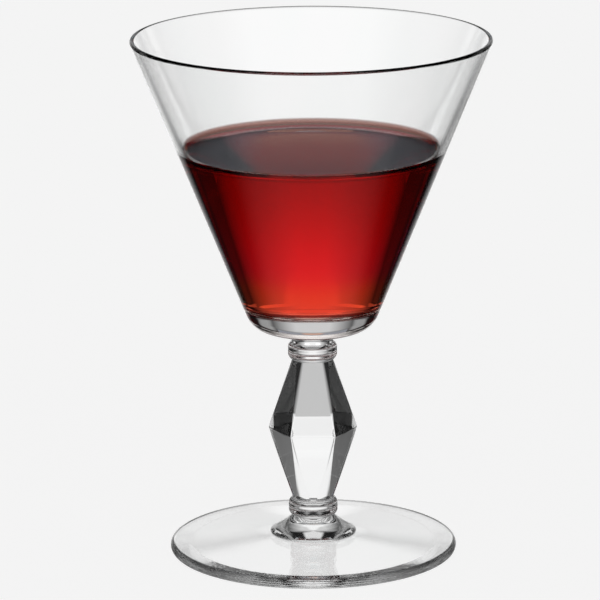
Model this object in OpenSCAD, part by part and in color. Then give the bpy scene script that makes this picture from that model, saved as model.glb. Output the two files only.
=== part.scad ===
// Small stemmed cocktail glass: a conical bowl on a short six-sided stem between two round collars,
// with a red drink in the bowl. Lengths are in millimetres, angles in degrees.
// The glass stands on the plane z = 0 and is centred on the z axis.

/* [Bowl] */
// Outside diameter of the bowl at the rim
rim_d = 84; // [72:0.5:100]
// Diameter at which the line of the outer wall meets the line of the underside
base_d = 28.5; // [24:0.5:36]
// Height of the bowl from its underside, beside the boss, to the top of the rim
bowl_h = 70.1; // [56:0.1:90]
// Thickness of the wall at the fire-polished rim
rim_t = 1.1; // [0.8:0.05:2]
// Thickness of the wall, measured level, where it meets the floor inside
wall_base_t = 2.2; // [1.4:0.1:3.5]
// Thickness of the floor over the middle of the underside
floor_t = 6.3; // [4:0.1:9]
// Radius between the underside and the outer wall
base_corner_r = 6.1; // [3:0.1:8]
// Radius between the floor and the wall inside
floor_corner_r = 4.5; // [1:0.1:6]
// Angle at which the underside rises towards the wall
underside_rise = 7.4; // [2:0.1:12]
// Height of the boss under the bowl that is welded to the upper collar
boss_h = 2.05; // [0.8:0.05:4]
// Radius between the boss and the underside
boss_fillet_r = 1.2; // [0.4:0.1:2]

/* [Drink] */
// Depth of the drink over the floor of the bowl
drink_depth = 36.6; // [15:0.1:44]
// Radius of the meniscus where the drink climbs the wall
meniscus_r = 3; // [1:0.1:4]
// Angle between the wall and the surface of the drink where they meet
contact_angle = 5; // [2:1:40]

/* [Stem] */
// Diameter of the welds between bowl, collars, stem and button
neck_d = 9.6; // [8:0.1:11]
// Diameter of the two collars
collar_d = 11.6; // [11.3:0.1:15]
// Height of each collar
collar_h = 4.3; // [3.2:0.05:8]
// Radius of the rounded edges of the collars
collar_edge_r = 1.6; // [1:0.1:2]
// Height of the faceted stem between the collars
stem_h = 33.65; // [22:0.05:60]
// Height of the waist over the lower end of the stem
waist_h = 17; // [8:0.05:20]
// Width of the stem across opposite corners at its waist
waist_d = 20.8; // [14:0.1:28]
// Number of facets around the stem
stem_sides = 6; // [6:2:10]
// Depth of the facets at the round ends of the stem
facet_end_depth = 0.1; // [0.05:0.05:0.5]

/* [Foot] */
// Diameter of the foot
foot_d = 67.7; // [56:0.1:80]
// Thickness of the foot at its rounded edge
foot_edge_t = 2.4; // [1.6:0.1:4]
// Height of the upper face of the foot where the button sits on it
foot_h = 4.2; // [4:0.05:7]
// Width of the flat ring that the foot rests on
rest_w = 4; // [2:0.1:8]
// Slope of the hollow under the foot
hollow_slope = 4.5; // [1:0.1:6]
// Diameter of the flared button on the foot
button_d = 20.25; // [15:0.05:26]
// Height of the button
button_h = 4.2; // [3:0.05:6]
// Slope of the upper face of the button beside its edge
button_slope = 27; // [10:1:32]
// Radius of the edge of the button
button_edge_r = 0.35; // [0.2:0.05:0.8]
// Angle by which the edge of the button curls under itself to the crease on the foot
button_crease = 40; // [10:1:70]

/* [Hidden] */
$fn = 96;
// Largest step between two points of an arc
arc_step = 7.5;
// How far the round blank of the stem stands clear of the corners at the waist, which leaves them sharp
crest_spare = 0.05;
glass_colour = [0.86, 0.9, 0.92, 0.45];
drink_colour = [0.66, 0.07, 0.09, 0.9];

// Heights of the welds, counted up from the plane that the foot stands on
lower_collar_z = foot_h + button_h;
stem_z = lower_collar_z + collar_h;
upper_collar_z = stem_z + stem_h;
boss_z = upper_collar_z + collar_h;
underside_z = boss_z + boss_h;
rim_z = underside_z + bowl_h;

neck_r = neck_d / 2;

// The rim is a half circle, and both faces of the wall are tangent to it
rim_r = rim_t / 2;
rim_centre = [rim_d / 2 - rim_r, rim_z - rim_r];
base_corner = [base_d / 2, underside_z + (base_d / 2 - neck_r) * tan(underside_rise)];
outer_lean = lean(base_corner) + asin(rim_r / norm(rim_centre - base_corner));
floor_z = underside_z + floor_t;
outer_r_at_floor = base_corner[0] + (floor_z - base_corner[1]) * tan(outer_lean);
floor_corner = [outer_r_at_floor - wall_base_t, floor_z];
inner_lean = lean(floor_corner) - asin(rim_r / norm(rim_centre - floor_corner));

drink_z = floor_z + drink_depth;

// The edge of the button is a small arc that ends in a crease on the foot
button_r = button_d / 2;
button_edge_centre = [button_r - button_edge_r, foot_h + button_edge_r * sin(button_crease)];
crease = [button_edge_centre[0] + button_edge_r * cos(button_crease), foot_h];

// The edge of the foot is a half circle, and the upper face of the foot is tangent to it
foot_edge_r = foot_edge_t / 2;
foot_edge_centre = [foot_d / 2 - foot_edge_r, foot_edge_r];
foot_reach = foot_edge_centre - crease;
foot_slope = atan2(-foot_reach[1], foot_reach[0]) - asin(foot_edge_r / norm(foot_reach));

// The hollow under the foot is a shallow cone, closed by a dome under the button
hollow_r = foot_edge_centre[0] - rest_w;
dome_r = button_r / sin(hollow_slope);
dome_centre_z = (hollow_r - button_r) * tan(hollow_slope) - dome_r * cos(hollow_slope);

// Lean from vertical of the line that runs from a point up to the middle of the rim
function lean(p) = atan2(rim_centre[0] - p[0], rim_centre[1] - p[1]);

function polar(r, angle) = r * [cos(angle), sin(angle)];

// Points of an arc about a centre, both ends included
function arc(centre, r, from, to) =
    let (steps = max(2, ceil(abs(to - from) / arc_step)))
    [for (i = [0:steps]) centre + polar(r, from + (to - from) * i / steps)];

// Arc that rounds a corner where a line with one heading turns to another heading
function fillet(corner, r, heading, next_heading) =
    let (side = sign(next_heading - heading))
    let (start = corner - polar(r * tan(abs(next_heading - heading) / 2), heading))
    arc(start + polar(r, heading + 90 * side), r, heading - 90 * side, next_heading - 90 * side);

// Arc that leaves one point with a given heading and ends at another point
function sweep(p, heading, q) =
    let (way = q - p)
    let (turn = 2 * (atan2(way[1], way[0]) - heading))
    let (r = norm(way) / 2 / sin(turn / 2))
    arc(p + polar(r, heading + 90), r, heading - 90, heading - 90 + turn);

function after_first(list) = [for (i = [1:len(list) - 1]) list[i]];

function reversed(list) = [for (i = [len(list) - 1:-1:0]) list[i]];

// The inside of the bowl, from its axis out to the start of the wall
function floor_points() =
    concat([[0, floor_z]], fillet(floor_corner, floor_corner_r, 0, 90 - inner_lean));

function inner_r(z) = floor_corner[0] + (z - floor_z) * tan(inner_lean);

// A round piece from the points of its half section
module turned(points) {
    rotate_extrude() polygon(points);
}

module foot() {
    hollow = arc([0, dome_centre_z], dome_r, 90, 90 - hollow_slope);
    edge = arc(foot_edge_centre, foot_edge_r, -90, 90 - foot_slope);
    color(glass_colour) turned(concat(hollow, [[hollow_r, 0]], edge, [crease, [0, foot_h]]));
}

module foot_button() {
    edge = arc(button_edge_centre, button_edge_r, -button_crease, 90 - button_slope);
    flare = sweep(edge[len(edge) - 1], 180 - button_slope, [neck_r, lower_collar_z]);
    color(glass_colour) turned(concat([[0, foot_h]], edge, after_first(flare), [[0, lower_collar_z]]));
}

// Round disc whose edges curve in to the welds
module collar(z) {
    edge_centre_r = collar_d / 2 - collar_edge_r;
    edge_turn = acos(max(0, (neck_r - edge_centre_r) / collar_edge_r));
    edge_h = collar_edge_r * sin(edge_turn);
    lower_edge = arc([edge_centre_r, z + edge_h], collar_edge_r, -edge_turn, 0);
    upper_edge = arc([edge_centre_r, z + collar_h - edge_h], collar_edge_r, 0, edge_turn);
    color(glass_colour) turned(concat([[0, z]], lower_edge, upper_edge, [[0, z + collar_h]]));
}

module lower_collar() {
    collar(lower_collar_z);
}

module upper_collar() {
    collar(upper_collar_z);
}

// The stem is a round blank, widest at its waist, with facets that fade out towards its ends.
// Each pair of opposite facets is one straight prism, and the stem is what the blank and the prisms share.
module faceted_stem() {
    waist_r = waist_d / 2;
    facet_r = waist_r * cos(180 / stem_sides);
    end_r = neck_r - facet_end_depth;
    blank = [[0, 0], [neck_r, 0], [waist_r + crest_spare, waist_h], [neck_r, stem_h], [0, stem_h]];
    right = [[end_r, 0], [facet_r, waist_h], [end_r, stem_h]];
    left = [for (p = reversed(right)) [-p[0], p[1]]];
    color(glass_colour) translate([0, 0, stem_z]) intersection() {
        turned(blank);
        intersection_for (pair = [0:stem_sides / 2 - 1])
            rotate([90, 0, 90 + pair * 360 / stem_sides])
                linear_extrude(2 * waist_d, center = true) polygon(concat(right, left));
    }
}

module bowl() {
    boss = fillet([neck_r, underside_z], min(boss_fillet_r, boss_h), 90, underside_rise);
    corner = fillet(base_corner, base_corner_r, underside_rise, 90 - outer_lean);
    rim = arc(rim_centre, rim_r, -outer_lean, 180 - inner_lean);
    weld = [[0, boss_z], [neck_r, boss_z]];
    color(glass_colour) turned(concat(weld, boss, corner, rim, reversed(floor_points())));
}

// The drink fills the bowl up to its level and climbs the wall a little at its edge
module drink() {
    climb = 90 - inner_lean - contact_angle;
    edge_z = drink_z + meniscus_r * (1 - cos(climb));
    meniscus_centre = [inner_r(edge_z) - meniscus_r * sin(climb), drink_z + meniscus_r];
    meniscus = arc(meniscus_centre, meniscus_r, climb - 90, -90);
    color(drink_colour) turned(concat(floor_points(), meniscus, [[0, drink_z]]));
}

foot();
foot_button();
lower_collar();
faceted_stem();
upper_collar();
bowl();
drink();
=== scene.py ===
"""Looks of a small stemmed cocktail glass with a red drink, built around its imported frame."""
import math

import bpy
from mathutils import Matrix, Vector


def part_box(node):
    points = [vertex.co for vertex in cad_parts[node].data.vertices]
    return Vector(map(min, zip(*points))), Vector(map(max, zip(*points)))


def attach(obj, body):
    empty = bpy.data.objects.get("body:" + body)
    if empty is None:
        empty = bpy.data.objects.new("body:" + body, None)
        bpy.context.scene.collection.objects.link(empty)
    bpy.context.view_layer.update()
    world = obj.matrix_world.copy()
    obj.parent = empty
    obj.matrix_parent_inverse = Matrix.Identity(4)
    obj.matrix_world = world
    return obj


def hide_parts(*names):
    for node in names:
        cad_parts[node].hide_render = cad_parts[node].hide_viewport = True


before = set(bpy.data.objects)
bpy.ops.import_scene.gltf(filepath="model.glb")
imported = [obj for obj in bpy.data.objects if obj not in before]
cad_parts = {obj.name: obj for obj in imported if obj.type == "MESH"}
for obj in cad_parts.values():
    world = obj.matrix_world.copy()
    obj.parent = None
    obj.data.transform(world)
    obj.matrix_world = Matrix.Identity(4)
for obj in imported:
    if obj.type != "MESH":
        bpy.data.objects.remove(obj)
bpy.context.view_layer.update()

MM = 0.001

# Sizes in millimetres and angles in degrees that the frame's boxes don't give
NECK_R = 4.8
BASE_R = 14.25
RIM_T = 1.1
WALL_BASE_T = 2.2
BASE_CORNER_R = 6.1
FLOOR_CORNER_R = 4.5
UNDERSIDE_RISE = 7.4
BOSS_H = 2.05
BOSS_FILLET_R = 1.2
MENISCUS_R = 3.0
CONTACT_ANGLE = 5.0
COLLAR_EDGE_R = 1.6
WAIST_H = 17.0
STEM_SIDES = 6
CREST_SPARE = 0.05
FOOT_EDGE_T = 2.4
REST_W = 4.0
HOLLOW_SLOPE = 4.5
BUTTON_SLOPE = 27.0
BUTTON_EDGE_R = 0.35
BUTTON_CREASE = 40.0

# The real surface of the drink flattens out more slowly than an arc: its capillary length, and the least
# slope and ratio of slopes of its mesh
CAPILLARY = 1.85
LEAST_SLOPE = 0.25
SLOPE_RATIO = 0.86
# How far the drink reaches into the wall, so that light passes from glass to drink with no air between
WET_OVERLAP = 0.12
# What fire polishing leaves of the stem's edges, its waist and the ends of its facets
RIDGE_SOFT_R = 0.25
WAIST_SOFT = 0.12
FACET_END_DEPTH = 0.02

SEGMENTS = 240
ARC_STEP = 3.0
# Long straight stretches get a ring near each end, which keeps their shading straight
LONG_STRETCH = 0.8
END_RING = 0.1
# Points closer together than this are one point
SAME_POINT = 1e-6
# Edges that turn by more than this are shaded as sharp
SHARP_ANGLE = 35.0
STEM_SHARP_ANGLE = 60.0


def polar(r, angle):
    return Vector((r * math.cos(math.radians(angle)), r * math.sin(math.radians(angle))))


def arc_steps(centre, r, start, end, steps):
    return [Vector(centre) + polar(r, start + (end - start) * i / steps) for i in range(steps + 1)]


def arc(centre, r, start, end):
    return arc_steps(centre, r, start, end, max(2, math.ceil(abs(end - start) / ARC_STEP)))


def fillet(corner, r, heading, next_heading):
    """Arc that rounds a corner where a line turns from one heading to another, left or right."""
    side = 1 if next_heading > heading else -1
    turn = abs(next_heading - heading)
    start = Vector(corner) - polar(r * math.tan(math.radians(turn / 2)), heading)
    return arc(start + polar(r, heading + 90 * side), r, heading - 90 * side, next_heading - 90 * side)


def sweep(p, heading, q):
    """Arc that leaves p with a heading and ends at q."""
    way = Vector(q) - Vector(p)
    turn = 2 * (math.degrees(math.atan2(way.y, way.x)) - heading)
    r = way.length / 2 / math.sin(math.radians(turn / 2))
    return arc(Vector(p) + polar(r, heading + 90), r, heading - 90, heading - 90 + turn)


def levels(node):
    """Lowest and highest height of a CAD node, in millimetres."""
    low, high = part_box(node)
    return low.z / MM, high.z / MM


def radius(node):
    """Radius of a CAD node about the axis, in millimetres."""
    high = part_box(node)[1]
    return max(high.x, high.y) / MM


foot_z, foot_h = levels("foot")
lower_collar_z, stem_z = levels("lower_collar")
upper_collar_z, boss_z = levels("upper_collar")
rim_z = levels("bowl")[1]
floor_z, drink_edge_z = levels("drink")
underside_z = boss_z + BOSS_H

rim_half = RIM_T / 2
rim_centre = Vector((radius("bowl") - rim_half, rim_z - rim_half))


def lean_to_rim(p, side):
    """Lean from vertical of the line from p that touches the rim's half circle on one side."""
    way = rim_centre - Vector(p)
    return math.degrees(math.atan2(way.x, way.y) + side * math.asin(rim_half / way.length))


base_corner = Vector((BASE_R, underside_z + (BASE_R - NECK_R) * math.tan(math.radians(UNDERSIDE_RISE))))
outer_lean = lean_to_rim(base_corner, 1)
outer_r_at_floor = base_corner.x + (floor_z - base_corner.y) * math.tan(math.radians(outer_lean))
floor_corner = Vector((outer_r_at_floor - WALL_BASE_T, floor_z))
inner_lean = lean_to_rim(floor_corner, -1)

button_r = radius("foot_button")
button_edge_centre = Vector((button_r - BUTTON_EDGE_R, foot_h + polar(BUTTON_EDGE_R, BUTTON_CREASE).y))
crease = Vector((button_edge_centre.x + polar(BUTTON_EDGE_R, BUTTON_CREASE).x, foot_h))


def inner_r(z):
    return floor_corner.x + (z - floor_z) * math.tan(math.radians(inner_lean))


# The level of the drink is the CAD's, and its edge stands where the real meniscus ends on the wall
climb = 90 - inner_lean - CONTACT_ANGLE
drink_z = drink_edge_z - MENISCUS_R * (1 - math.cos(math.radians(climb)))
wet_z = drink_z + 2 * CAPILLARY * math.sin(math.radians(climb / 2))
wet_edge = Vector((inner_r(wet_z), wet_z))


# Meshes

# Places of the materials in the list that every glass piece gets, and in that of the drink
GLASS, WELD, WET = 0, 1, 2
LIQUID = 0


def meshed(name, verts, faces, slots, materials, sharp_angle):
    mesh = bpy.data.meshes.new(name)
    mesh.from_pydata([Vector(v) * MM for v in verts], [], faces)
    for material in materials:
        mesh.materials.append(material)
    mesh.polygons.foreach_set("material_index", slots)
    mesh.set_sharp_from_angle(angle=math.radians(sharp_angle))
    mesh.update()
    mesh.validate()
    piece = bpy.data.objects.new(name, mesh)
    bpy.context.scene.collection.objects.link(piece)
    return piece


def with_end_rings(p, q):
    """The points after p on the way to q, with a ring near each end of a long stretch."""
    way = q - p
    if way.length < LONG_STRETCH:
        return [q]
    step = way.normalized() * END_RING
    return [p + step, q - step, q]


def turned(name, stretches, materials):
    """A closed round solid. Each stretch is (points of the half section, material index)."""
    profile = [Vector(stretches[0][0][0])]
    index = []
    for points, material in stretches:
        for p in points:
            if (Vector(p) - profile[-1]).length < SAME_POINT:
                continue
            for ring in with_end_rings(profile[-1], Vector(p)):
                profile.append(ring)
                index.append(material)
    verts = []
    rows = []
    for r, z in profile:
        if r < SAME_POINT:
            rows.append([len(verts)] * SEGMENTS)
            verts.append((0.0, 0.0, z))
            continue
        rows.append(list(range(len(verts), len(verts) + SEGMENTS)))
        verts.extend((*polar(r, 360 * i / SEGMENTS), z) for i in range(SEGMENTS))
    faces = []
    slots = []
    for low, high, material in zip(rows, rows[1:], index):
        for i in range(SEGMENTS):
            j = (i + 1) % SEGMENTS
            corners = (low[i], low[j], high[j], high[i])
            faces.append(tuple(dict.fromkeys(corners)))
            slots.append(material)
    return meshed(name, verts, faces, slots, materials, SHARP_ANGLE)


def make_foot(materials):
    edge_r = FOOT_EDGE_T / 2
    edge_centre = Vector((radius("foot") - edge_r, foot_z + edge_r))
    way = edge_centre - crease
    slope = math.degrees(math.atan2(-way.y, way.x) - math.asin(edge_r / way.length))
    hollow_r = edge_centre.x - REST_W
    rise = math.radians(HOLLOW_SLOPE)
    dome_r = button_r / math.sin(rise)
    dome_centre = Vector((0, foot_z + (hollow_r - button_r) * math.tan(rise) - dome_r * math.cos(rise)))
    dome = arc(dome_centre, dome_r, 90, 90 - HOLLOW_SLOPE)
    dome[0].x = 0.0
    edge = arc(edge_centre, edge_r, -90, 90 - slope)
    return turned("foot_glass", [
        (dome + [Vector((hollow_r, foot_z))] + edge + [crease], GLASS),
        ([Vector((0, foot_h))], WELD)], materials)


def make_button(materials):
    edge = arc(button_edge_centre, BUTTON_EDGE_R, -BUTTON_CREASE, 90 - BUTTON_SLOPE)
    flare = sweep(edge[-1], 180 - BUTTON_SLOPE, (NECK_R, lower_collar_z))
    return turned("foot_button_glass", [
        ([Vector((0, foot_h)), edge[0]], WELD),
        (edge + flare, GLASS),
        ([Vector((0, lower_collar_z))], WELD)], materials)


def make_collar(node, materials):
    low, high = levels(node)
    edge_centre_r = radius(node) - COLLAR_EDGE_R
    turn = math.degrees(math.acos((NECK_R - edge_centre_r) / COLLAR_EDGE_R))
    edge_h = polar(COLLAR_EDGE_R, turn).y
    lower_edge = arc((edge_centre_r, low + edge_h), COLLAR_EDGE_R, -turn, 0)
    upper_edge = arc((edge_centre_r, high - edge_h), COLLAR_EDGE_R, 0, turn)
    return turned(node + "_glass", [
        ([Vector((0, low)), lower_edge[0]], WELD),
        (lower_edge + upper_edge, GLASS),
        ([Vector((0, high))], WELD)], materials)


# Steps of the stem's mesh: along a half, over the soft waist, around a soft ridge and around the blank,
# and the least half angle that the blank keeps between two facets
FADE_STEPS = 18
WAIST_OFFSETS = (-0.6, -0.4, -0.25, -0.12, 0.0, 0.12, 0.25, 0.4, 0.6)
RIDGE_STEPS = 4
BLANK_STEPS = 6
LEAST_BLANK = 0.15


def stem_section(facet_r, blank_r):
    """Outline of the stem at one height, and which of its stretches are flat facets."""
    half = 180.0 / STEM_SIDES
    inner_facet = facet_r - RIDGE_SOFT_R
    inner_blank = blank_r - RIDGE_SOFT_R
    meet = min(math.degrees(math.acos(inner_facet / inner_blank)), half - LEAST_BLANK)
    reach = inner_facet / math.cos(math.radians(meet))
    points = []
    flat = []
    for n in range(STEM_SIDES):
        middle = -90 + n * 2 * half
        start, end = middle - meet, middle + meet
        into = arc_steps(polar(reach, start), RIDGE_SOFT_R, start, middle, RIDGE_STEPS)
        away = arc_steps(polar(reach, end), RIDGE_SOFT_R, middle, end, RIDGE_STEPS)
        blank = arc_steps((0, 0), reach + RIDGE_SOFT_R, end, start + 2 * half, BLANK_STEPS)
        stretch = into + away + blank[1:-1]
        points += stretch
        flat += [k == len(into) - 1 for k in range(len(stretch))]
    return points, flat


def make_stem(materials):
    """A round blank cut by flat facets that fade out towards its ends, with softened edges."""
    waist_z = stem_z + WAIST_H
    waist_r = radius("faceted_stem")
    facet_waist_r = waist_r * math.cos(math.pi / STEM_SIDES)
    fades = [(i / FADE_STEPS) ** 2 for i in range(FADE_STEPS)]
    first, last = WAIST_OFFSETS[0], WAIST_OFFSETS[-1]
    heights = [stem_z + (waist_z + first - stem_z) * f for f in fades]
    heights += [waist_z + offset for offset in WAIST_OFFSETS]
    heights += [upper_collar_z + (waist_z + last - upper_collar_z) * f for f in reversed(fades)]

    def soft(run):
        return math.hypot(run, WAIST_SOFT) - WAIST_SOFT

    def tapered(end_r, widest_r, z):
        run = WAIST_H if z < waist_z else upper_collar_z - waist_z
        return widest_r - (widest_r - end_r) * soft(z - waist_z) / soft(run)

    verts = []
    rows = []
    for z in heights:
        points, flat = stem_section(tapered(NECK_R - FACET_END_DEPTH, facet_waist_r, z),
                                    tapered(NECK_R, waist_r + CREST_SPARE, z))
        rows.append(list(range(len(verts), len(verts) + len(points))))
        verts.extend((*p, z) for p in points)
    count = len(rows[0])
    faces = []
    facets = []
    for low, high, z in zip(rows, rows[1:], heights):
        at_waist = first <= z - waist_z < last
        for i in range(count):
            j = (i + 1) % count
            faces.append((low[i], low[j], high[j], high[i]))
            facets.append(flat[i] and not at_waist)
    slots = [GLASS] * len(faces) + [WELD, WELD]
    faces += [tuple(reversed(rows[0])), tuple(rows[-1])]
    piece = meshed("faceted_stem_glass", verts, faces, slots, materials, STEM_SHARP_ANGLE)
    piece.data.polygons.foreach_set("use_smooth", [not f for f in facets] + [False, False])
    return piece


def make_bowl(materials):
    boss = fillet((NECK_R, underside_z), BOSS_FILLET_R, 90, UNDERSIDE_RISE)
    corner = fillet(base_corner, BASE_CORNER_R, UNDERSIDE_RISE, 90 - outer_lean)
    rim = arc(rim_centre, rim_half, -outer_lean, 180 - inner_lean)
    floor = fillet(floor_corner, FLOOR_CORNER_R, 0, 90 - inner_lean)[::-1]
    return turned("bowl_glass", [
        ([Vector((0, boss_z)), Vector((NECK_R, boss_z))], WELD),
        (boss + corner + rim + [wet_edge], GLASS),
        (floor + [Vector((0, floor_z))], WET)], materials)


def meniscus():
    """The surface of the drink from the wall inwards, by the slope of a capillary surface."""
    def run(slope):
        return math.log(math.tan(slope / 4)) + 2 * math.cos(slope / 2)

    steps = math.ceil(math.log(LEAST_SLOPE / climb) / math.log(SLOPE_RATIO))
    slopes = [math.radians(climb) * SLOPE_RATIO ** i for i in range(steps + 1)]
    return [Vector((wet_edge.x - CAPILLARY * (run(slopes[0]) - run(slope)),
                    drink_z + 2 * CAPILLARY * math.sin(slope / 2))) for slope in slopes]


def make_drink(materials):
    """The drink reaches a hair into the wall, which it wets all over."""
    corner = floor_corner + Vector((WET_OVERLAP / math.cos(math.radians(inner_lean)), -WET_OVERLAP))
    floor = fillet(corner, FLOOR_CORNER_R, 0, 90 - inner_lean)
    side = [Vector((0, corner.y))] + floor + [wet_edge + polar(WET_OVERLAP, -inner_lean)]
    surface = meniscus() + [Vector((0, drink_z))]
    return turned("drink_liquid", [(side + surface, LIQUID)], materials)


# Node helpers

# Places of a mix node's two values and its result among its sockets, by data type
MIX_SOCKETS = {"FLOAT": (2, 3, 0), "RGBA": (6, 7, 2)}


def feed(tree, socket, value):
    """Give a socket a link from another node, or a plain value."""
    if isinstance(value, bpy.types.NodeSocket):
        tree.links.new(value, socket)
    else:
        socket.default_value = value


def calc(tree, operation, *values):
    node = tree.nodes.new("ShaderNodeMath")
    node.operation = operation
    for socket, value in zip(node.inputs, values):
        feed(tree, socket, value)
    return node.outputs[0]


def remap(tree, value, start, end, low=0.0, high=1.0, kind="SMOOTHSTEP"):
    """A value between start and end, moved to between low and high."""
    node = tree.nodes.new("ShaderNodeMapRange")
    node.interpolation_type = kind
    node.clamp = True
    given = {"Value": value, "From Min": start, "From Max": end, "To Min": low, "To Max": high}
    for name, number in given.items():
        feed(tree, node.inputs[name], number)
    return node.outputs[0]


def mix(tree, kind, factor, first, second):
    node = tree.nodes.new("ShaderNodeMix")
    node.data_type = kind
    first_socket, second_socket, result = MIX_SOCKETS[kind]
    feed(tree, node.inputs[0], factor)
    feed(tree, node.inputs[first_socket], first)
    feed(tree, node.inputs[second_socket], second)
    return node.outputs[result]


def noise(tree, where, scale, detail):
    node = tree.nodes.new("ShaderNodeTexNoise")
    node.inputs["Scale"].default_value = scale
    node.inputs["Detail"].default_value = detail
    tree.links.new(where, node.inputs["Vector"])
    return node.outputs["Fac"]


def ramp(tree, place, stops):
    """Colour by place, from rising stops of (place, colour)."""
    node = tree.nodes.new("ShaderNodeValToRGB")
    elements = node.color_ramp.elements
    elements[0].position = stops[0][0]
    elements[-1].position = stops[-1][0]
    for stop in stops[1:-1]:
        elements.new(stop[0])
    for element, stop in zip(elements, stops):
        element.color = (*stop[1], 1)
    tree.links.new(place, node.inputs[0])
    return node.outputs[0]


def shade_by_height(tree, height, shades):
    """Colour by height, from rising shades of (height in millimetres, colour)."""
    low, high = shades[0][0], shades[-1][0]
    place = remap(tree, height, low * MM, high * MM, kind="LINEAR")
    return ramp(tree, place, [((z - low) / (high - low), colour) for z, colour in shades])


def coordinates(tree, kind):
    return tree.nodes.new("ShaderNodeTexCoord").outputs[kind]


def axes(tree, vector):
    """The x, y and z of a vector."""
    split = tree.nodes.new("ShaderNodeSeparateXYZ")
    tree.links.new(vector, split.inputs[0])
    return split.outputs


def new_material(name):
    material = bpy.data.materials.new(name)
    material.use_nodes = True
    tree = material.node_tree
    return material, tree, tree.nodes["Principled BSDF"]


# Materials

GLASS_IOR = 1.5
# Faint cords that the working of the glass leaves in it: how many there are in a metre around and along the
# glass, how finely they branch, their depth in millimetres, and the tint of the strongest
CORDS_AROUND = 70.0
CORDS_ALONG = 25.0
CORD_DETAIL = 2.0
CORD_DEPTH = 0.012
CORD_TINT = (0.985, 0.995, 0.992)
TINT_START = 0.4
TINT_FULL = 0.75
# Fine scuffs on the ring that the glass stands on: the height that they reach in millimetres, how many
# there are in a metre, how finely they branch, how much of the ring they cover, and their roughness
SCUFF_H = 0.04
SCUFFS = 2400.0
SCUFF_DETAIL = 3.0
SCUFF_START = 0.5
SCUFF_FULL = 0.65
SCUFF_ROUGHNESS = 0.3


def clear_glass(name, specular=1.0):
    """Colourless glass, polished all over but for the scuffs of its resting ring."""
    material, tree, shader = new_material(name)
    where = coordinates(tree, "Object")
    stretch = tree.nodes.new("ShaderNodeMapping")
    stretch.inputs["Scale"].default_value = (CORDS_AROUND, CORDS_AROUND, CORDS_ALONG)
    tree.links.new(where, stretch.inputs["Vector"])
    cords = noise(tree, stretch.outputs[0], 1.0, CORD_DETAIL)

    bump = tree.nodes.new("ShaderNodeBump")
    bump.inputs["Distance"].default_value = CORD_DEPTH * MM
    tree.links.new(cords, bump.inputs["Height"])
    tree.links.new(bump.outputs[0], shader.inputs["Normal"])

    tint = ramp(tree, cords, [(TINT_START, (1.0, 1.0, 1.0)), (TINT_FULL, CORD_TINT)])
    tree.links.new(tint, shader.inputs["Base Color"])

    resting = remap(tree, axes(tree, where)["Z"], 2 * SCUFF_H * MM, SCUFF_H * MM)
    scuffs = noise(tree, where, SCUFFS, SCUFF_DETAIL)
    rough = remap(tree, scuffs, SCUFF_START, SCUFF_FULL, 0.0, SCUFF_ROUGHNESS)
    tree.links.new(calc(tree, "MULTIPLY", resting, rough), shader.inputs["Roughness"])

    shader.inputs["Transmission Weight"].default_value = 1.0
    shader.inputs["IOR"].default_value = GLASS_IOR
    shader.inputs["Specular Tint"].default_value = (specular, specular, specular, 1)
    return material


def weld():
    """The faces where two pieces are fused, which don't show."""
    material, _, shader = new_material("weld")
    shader.inputs["Alpha"].default_value = 0.0
    return material


DRINK_IOR = 1.345
# The colour that the drink absorbs least, and how strongly it absorbs the rest in a metre
DRINK_COLOUR = (0.96, 0.35, 0.2)
DRINK_DENSITY = 155.0
# Painted shade, with some tint, on the faces of the drink: the share of light that they pass, most near its
# lowest point and less higher up, by height over that point, then little at its level surface and all at the
# top of its meniscus, by height over that level
PAINTED_DEEP_SHADE = (
    (0.5, (1.0, 0.95, 0.92)),
    (3.0, (1.0, 0.96, 0.62)),
    (7.0, (1.0, 0.85, 0.6)),
    (11.0, (0.96, 0.3, 0.9)),
    (17.0, (0.88, 0.2, 0.85)),
    (27.0, (0.64, 0.16, 0.5)),
)
PAINTED_SURFACE_SHADE = (
    (-0.4, (0.47, 0.16, 0.2)),
    (-0.2, (0.27, 0.26, 0.25)),
    (0.2, (0.27, 0.26, 0.25)),
    (0.3, (0.4, 0.2, 0.17)),
    (1.0, (0.4, 0.22, 0.19)),
    (1.5, (0.45, 0.32, 0.3)),
    (1.85, (1.0, 1.0, 1.0)),
)


def red_drink():
    """A clear red liquid. Like the glass that it wets, it mirrors nothing head on."""
    material, tree, shader = new_material("red_liquid")
    shader.inputs["Transmission Weight"].default_value = 1.0
    shader.inputs["Roughness"].default_value = 0.0
    shader.inputs["IOR"].default_value = DRINK_IOR
    shader.inputs["Specular Tint"].default_value = (0, 0, 0, 1)
    # Painted shade by height on the faces of the drink, on top of what its volume absorbs
    shades = [(floor_z + height, colour) for height, colour in PAINTED_DEEP_SHADE]
    shades += [(drink_z + height, colour) for height, colour in PAINTED_SURFACE_SHADE]
    shade = shade_by_height(tree, axes(tree, coordinates(tree, "Object"))["Z"], shades)
    tree.links.new(shade, shader.inputs["Base Color"])
    absorb = tree.nodes.new("ShaderNodeVolumeAbsorption")
    absorb.inputs["Color"].default_value = (*DRINK_COLOUR, 1)
    absorb.inputs["Density"].default_value = DRINK_DENSITY
    tree.links.new(absorb.outputs["Volume"], tree.nodes["Material Output"].inputs["Volume"])
    return material


# Pieces

def placed(piece, node):
    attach(piece, "root")
    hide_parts(node)


glass_slots = [clear_glass("polished_glass"), weld(), clear_glass("wetted_glass", specular=0.0)]

placed(make_foot(glass_slots), "foot")
placed(make_button(glass_slots), "foot_button")
placed(make_collar("lower_collar", glass_slots), "lower_collar")
placed(make_stem(glass_slots), "faceted_stem")
placed(make_collar("upper_collar", glass_slots), "upper_collar")
placed(make_bowl(glass_slots), "bowl")
placed(make_drink([red_drink()]), "drink")

# Camera, fitted to the photograph, in millimetres and degrees. The axis of the glass lies some pixels to the
# right of the picture's middle, so the camera stands to its left.

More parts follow.
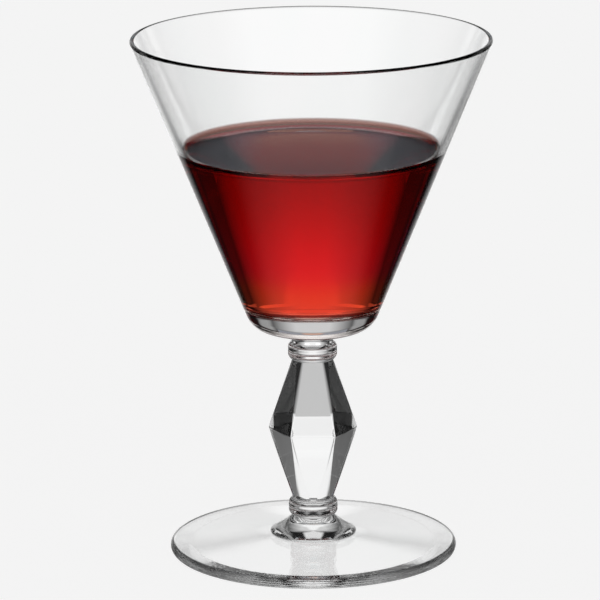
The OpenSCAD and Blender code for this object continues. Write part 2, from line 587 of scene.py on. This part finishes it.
ELEVATION = 13.885
DISTANCE = 1089.5
TARGET_Z = 60.45
AXIS_PX = 12.3
PX_PER_MM = 4.271
ROLL = -0.29
LENS = 279.2
SENSOR = 36.0

camera = bpy.data.objects.new("camera", bpy.data.cameras.new("camera"))
bpy.context.scene.collection.objects.link(camera)
camera.data.lens = LENS
camera.data.sensor_width = SENSOR
away = polar(DISTANCE, ELEVATION)
camera.location = Vector((-AXIS_PX / PX_PER_MM, -away.x, TARGET_Z + away.y)) * MM
turn = Matrix.Rotation(math.radians(90 - ELEVATION), 3, "X") @ Matrix.Rotation(math.radians(ROLL), 3, "Z")
camera.rotation_euler = turn.to_euler()
bpy.context.scene.camera = camera

# Stage

# Level of the background that the camera sees, and of the dark flags between the panels
PALE = 0.905
DIM = 0.008
# The studio's soft panels of light by direction, in degrees, alike on both sides of the middle.
# Azimuth 0 lies behind the glass. Each panel: azimuth of its centre, half width, softness of its sides,
# lowest and highest elevation, softness of its top and bottom, level.
PANELS = {
    "window_top": (0, 18.5, 29, -3, 9, 3, 0.97),
    "window": (0, 21.5, 23, -15, -2, 3, 0.985),
    "window_low": (0, 21.5, 23, -29, -12, 6, 0.92),
    "window_sides": (10, 5, 3, -21, -10, 4, 1.25),
    "under_window": (0, 19, 6, -45, -26, 6, 0.58),
    "deep_window": (0, 34, 10, -62, -46, 6, 0.27),
    "over_window": (0, 20, 20, 2, 18, 6, 0.63),
    "overhead": (0, 9, 3, 20, 31, 4, 0.75),
    "bottom_light": (0, 25.5, 5, 0.3, 3.7, 1.6, 0.95),
    "corner_light": (33, 6, 4, 0, 7, 2, 0.42),
    "edge_light": (33, 7, 6, 8, 16, 3, 0.08),
    "flare_light": (35, 9, 6, 14, 24, 4, 0.35),
    "corner_bank": (58, 16, 4, 2.5, 10, 2, 0.5),
    "flag_gap": (47, 5.5, 2, -23, -8, 4, 0.85),
    "side_window": (88, 10, 4, -22, -11, 3, 0.85),
    "side_strip": (80, 5, 4, -12, 10, 3, 0.9),
    "side_bank": (98, 24, 6, 3, 11, 2, 0.9),
    "back_window": (154, 26, 6, -24, -7, 4, 0.9),
    "back_bank": (154, 26, 6, -8, 11, 4, 0.6),
    "front_box": (180, 60, 30, 24, 42, 8, 0.6),
    "low_front": (180, 85, 90, -71, -47, 8, 0.25),
    "sky": (90, 90, 1, 50, 95, 12, 0.12),
    "ground": (90, 90, 1, -95, -70, 8, 0.6),
}


def studio():
    """Pale for the camera; for the glass, soft panels between dark flags."""
    world = bpy.data.worlds.new("studio")
    world.use_nodes = True
    tree = world.node_tree
    x, y, z = axes(tree, coordinates(tree, "Generated"))
    off = calc(tree, "ABSOLUTE", calc(tree, "DEGREES", calc(tree, "ARCTAN2", x, y)))
    elevation = calc(tree, "DEGREES", calc(tree, "ARCSINE", z))

    light = DIM
    for centre, half, soft, low, high, fade, level in PANELS.values():
        from_centre = calc(tree, "ABSOLUTE", calc(tree, "SUBTRACT", off, centre))
        across = remap(tree, from_centre, half + soft / 2, half - soft / 2, kind="LINEAR")
        bottom = remap(tree, elevation, low - fade / 2, low + fade / 2)
        top = remap(tree, elevation, high + fade / 2, high - fade / 2, 0, level)
        panel = calc(tree, "MULTIPLY", across, calc(tree, "MULTIPLY", bottom, top))
        light = calc(tree, "MAXIMUM", light, panel)

    by_camera = tree.nodes.new("ShaderNodeLightPath").outputs["Is Camera Ray"]
    tree.links.new(mix(tree, "FLOAT", by_camera, light, PALE), tree.nodes["Background"].inputs["Color"])
    return world


def sheet(name, corners):
    """A flat sheet of the stage, from four corners in millimetres."""
    mesh = bpy.data.meshes.new(name)
    mesh.from_pydata([Vector(corner) * MM for corner in corners], [], [(0, 1, 2, 3)])
    piece = bpy.data.objects.new(name, mesh)
    bpy.context.scene.collection.objects.link(piece)
    return piece


# Half side of the floor and the gap under the glass in millimetres, the grey that takes the shadow, and the
# glow that makes the floor as pale as the background
FLOOR_HALF = 10000.0
FLOOR_GAP = 0.2
FLOOR_SHADE = 0.3
FLOOR_GLOW = 0.862


def make_floor():
    """A pale floor that takes the soft shadow; the glass looks past it into the studio."""
    sides = ((-1, -1), (1, -1), (1, 1), (-1, 1))
    floor = sheet("floor", [(x * FLOOR_HALF, y * FLOOR_HALF, -FLOOR_GAP) for x, y in sides])
    material, _, shader = new_material("pale_floor")
    shader.inputs["Base Color"].default_value = (FLOOR_SHADE, FLOOR_SHADE, FLOOR_SHADE, 1)
    shader.inputs["Specular IOR Level"].default_value = 0.0
    shader.inputs["Emission Color"].default_value = (1, 1, 1, 1)
    shader.inputs["Emission Strength"].default_value = FLOOR_GLOW
    floor.data.materials.append(material)
    floor.visible_glossy = False
    floor.visible_transmission = False
    floor.visible_diffuse = False


# Place and size of the card in millimetres
CARD_Y = 200.0
CARD_HALF = 80.0
CARD_LOW = 122.0
CARD_HIGH = 160.0
# Colours of the card's middle by height, and the slate of its sides, which starts and is full at these
# distances from the middle
CARD_SHADES = (
    (130.0, (0.74, 0.43, 0.31)),
    (137.0, (0.33, 0.22, 0.21)),
    (140.0, (0.24, 0.2, 0.2)),
    (145.0, (0.06, 0.16, 0.18)),
)
CARD_SLATE = (0.27, 0.28, 0.31)
SLATE_START = 12.0
SLATE_FULL = 26.0


def make_card():
    """A graded card behind the glass that the camera doesn't see and the surface of the drink mirrors."""
    corners = ((-1, CARD_LOW), (1, CARD_LOW), (1, CARD_HIGH), (-1, CARD_HIGH))
    card = sheet("card", [(side * CARD_HALF, CARD_Y, z) for side, z in corners])
    material, tree, shader = new_material("graded_card")
    where = axes(tree, coordinates(tree, "Object"))
    shade = shade_by_height(tree, where["Z"], CARD_SHADES)
    off = calc(tree, "ABSOLUTE", where["X"])
    slate = remap(tree, off, SLATE_START * MM, SLATE_FULL * MM)
    graded = mix(tree, "RGBA", slate, shade, (*CARD_SLATE, 1))
    shader.inputs["Base Color"].default_value = (0, 0, 0, 1)
    shader.inputs["Specular IOR Level"].default_value = 0.0
    tree.links.new(graded, shader.inputs["Emission Color"])
    shader.inputs["Emission Strength"].default_value = 1.0
    card.data.materials.append(material)
    card.visible_camera = False
    card.visible_diffuse = False
    card.visible_shadow = False


bpy.context.scene.world = studio()
make_floor()
make_card()

# Light crosses many faces on its way through clear glass
LIGHT_BOUNCES = 32
GLOSSY_BOUNCES = 16

bpy.context.scene.view_settings.view_transform = "Standard"
bpy.context.scene.cycles.max_bounces = LIGHT_BOUNCES
bpy.context.scene.cycles.transmission_bounces = LIGHT_BOUNCES
bpy.context.scene.cycles.transparent_max_bounces = LIGHT_BOUNCES
bpy.context.scene.cycles.glossy_bounces = GLOSSY_BOUNCES
